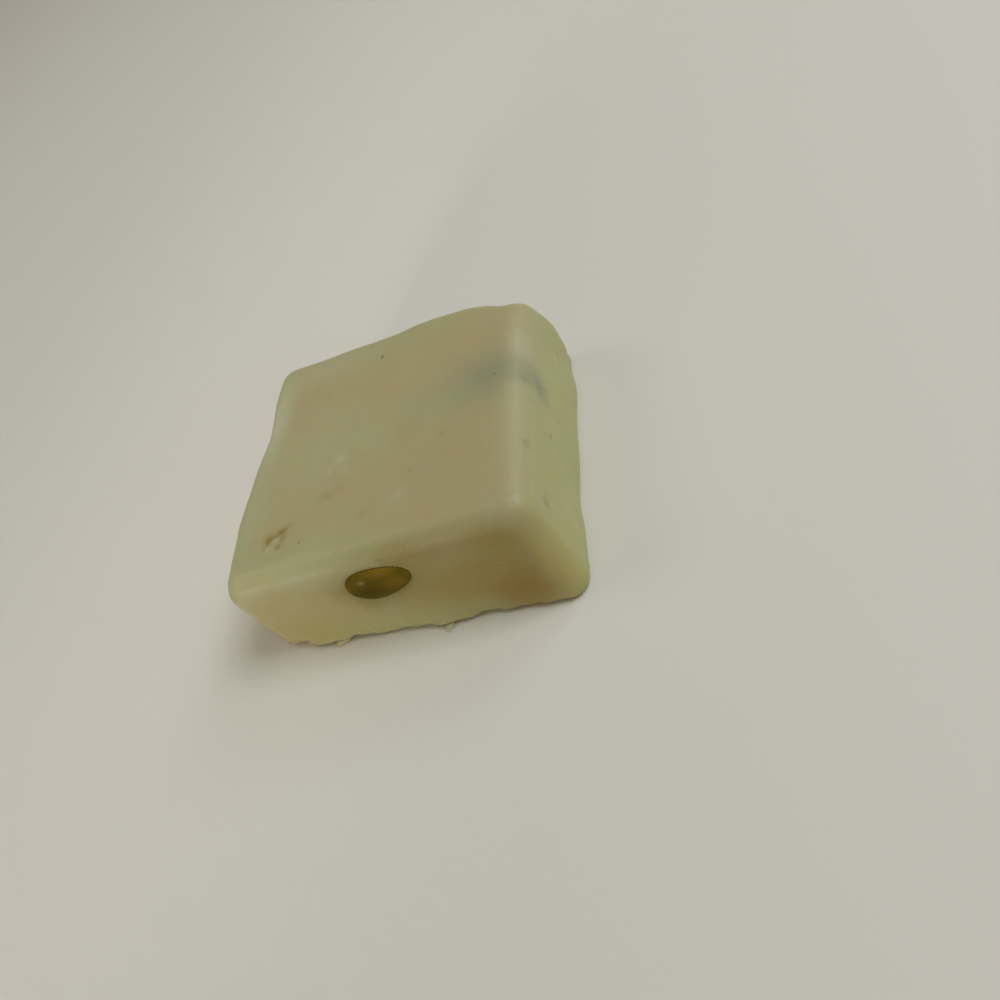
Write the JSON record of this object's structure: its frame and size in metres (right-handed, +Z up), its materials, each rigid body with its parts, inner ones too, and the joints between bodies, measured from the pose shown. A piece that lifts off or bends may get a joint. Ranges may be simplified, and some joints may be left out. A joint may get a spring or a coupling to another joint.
{
  "type": "malai barfi",
  "caption": "Hand-cut square of pale malai barfi with soft rounded edges, a crumbly foot and half a pistachio kernel set level in its front cut.",
  "frame": {"origin": "under the middle of the piece in plan, on the surface that it stands on", "axes": "+Z up, -Y towards the front cut that shows the kernel, +X towards the right cut"},
  "size_m": [0.0456, 0.0448, 0.0165],
  "materials": {
    "milk_fudge": "soft, faintly greasy milk fudge, cream to khaki",
    "pistachio": "moist split pistachio kernel, olive green with a brown upper edge"
  },
  "bodies": {
    "root": {"barfi": "milk_fudge", "pistachio_half": "pistachio"}
  },
  "joints": []
}
